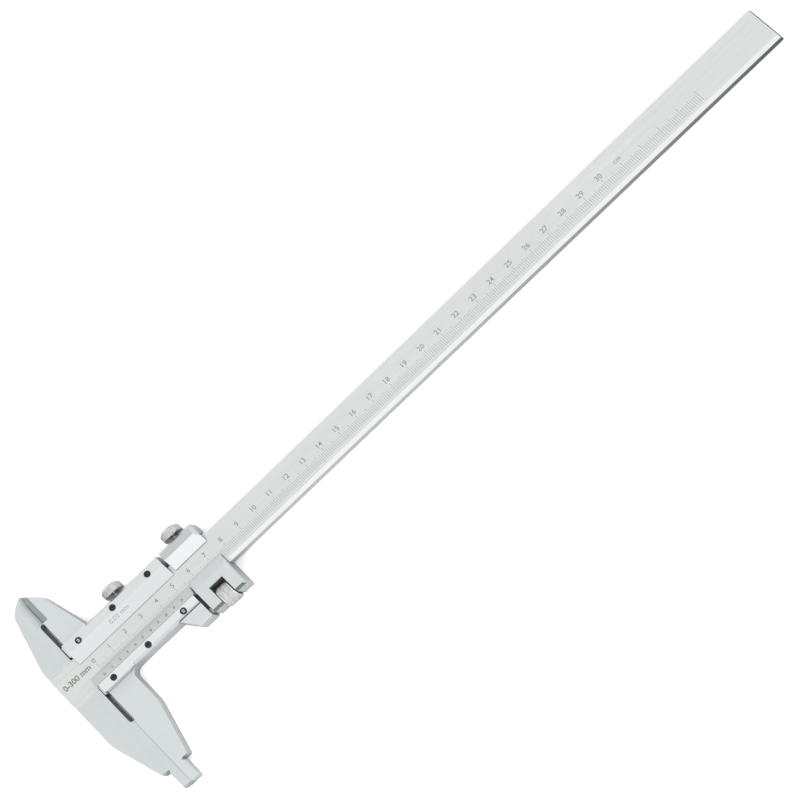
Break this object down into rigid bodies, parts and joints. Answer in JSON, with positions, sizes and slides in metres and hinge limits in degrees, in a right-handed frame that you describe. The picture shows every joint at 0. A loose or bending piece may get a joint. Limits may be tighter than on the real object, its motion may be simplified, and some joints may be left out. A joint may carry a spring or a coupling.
{
  "type": "vernier caliper",
  "caption": "Long vernier caliper with knife and nib jaws, a screwed slider, and a fine-adjustment carriage with a knurled nut and lock knobs.",
  "frame": {"origin": "on the flat back, at the plane where the closed jaws meet, on the middle line of the main scale", "axes": "+X along the beam to its free end, +Y towards the knife jaws and lock knobs, +Z out of the scale face"},
  "size_m": [0.4089, 0.1228, 0.0109],
  "materials": {
    "beam_steel": "matte satin, brushed lengthwise, warm grey",
    "body_steel": "satin ground, bluish grey",
    "strip_steel": "fine satin, bluish white",
    "vernier_satin": "pearl satin chrome, near white",
    "black_oxide": "black oxide, semi-gloss",
    "bright_nickel": "bright nickel, knurled rims"
  },
  "bodies": {
    "beam": {"beam_with_fixed_jaw": "beam_steel"},
    "slider": {"slider_body": "body_steel", "lock_side_cover_strip": "strip_steel", "scale_side_cover_strip": "strip_steel", "vernier_plate": "vernier_satin", "slider_gib": "body_steel", "cover_screw_1": "black_oxide", "cover_screw_2": "black_oxide", "cover_screw_3": "black_oxide", "cover_screw_4": "black_oxide", "cover_screw_5": "black_oxide", "cover_screw_6": "black_oxide", "gib_set_screw_1": "black_oxide", "gib_set_screw_2": "black_oxide", "feed_screw": "bright_nickel"},
    "slider_lock": {"slider_lock_screw": "bright_nickel"},
    "carriage": {"carriage_body": "body_steel", "carriage_gib": "body_steel", "carriage_set_screw": "black_oxide"},
    "carriage_lock": {"carriage_lock_screw": "bright_nickel"},
    "nut": {"fine_adjust_nut": "bright_nickel"}
  },
  "joints": [
    {"name": "slider_slide", "type": "slide", "parent": "beam", "child": "slider", "axis": [1, 0, 0], "range_m": [0, 0.3]},
    {"name": "slider_lock_turn", "type": "hinge", "parent": "slider", "child": "slider_lock", "pos_m": [0.0345, 0.0152, 0.00525], "axis": [0, 1, 0], "range_deg": [-270, 0]},
    {"name": "carriage_slide", "type": "slide", "parent": "slider", "child": "carriage", "axis": [1, 0, 0], "range_m": [-0.0008, 0.004]},
    {"name": "carriage_lock_turn", "type": "hinge", "parent": "carriage", "child": "carriage_lock", "pos_m": [0.072, 0.0152, 0.00525], "axis": [0, 1, 0], "range_deg": [-270, 0]},
    {"name": "nut_turn", "type": "hinge", "parent": "carriage", "child": "nut", "pos_m": [0.0717, -0.02075, 0.0055], "axis": [1, 0, 0], "range_deg": [-450, 2100]}
  ],
  "couplings": [
    {"joint": "nut_turn", "follows": "carriage_slide", "rad_per_m": 8976}
  ]
}
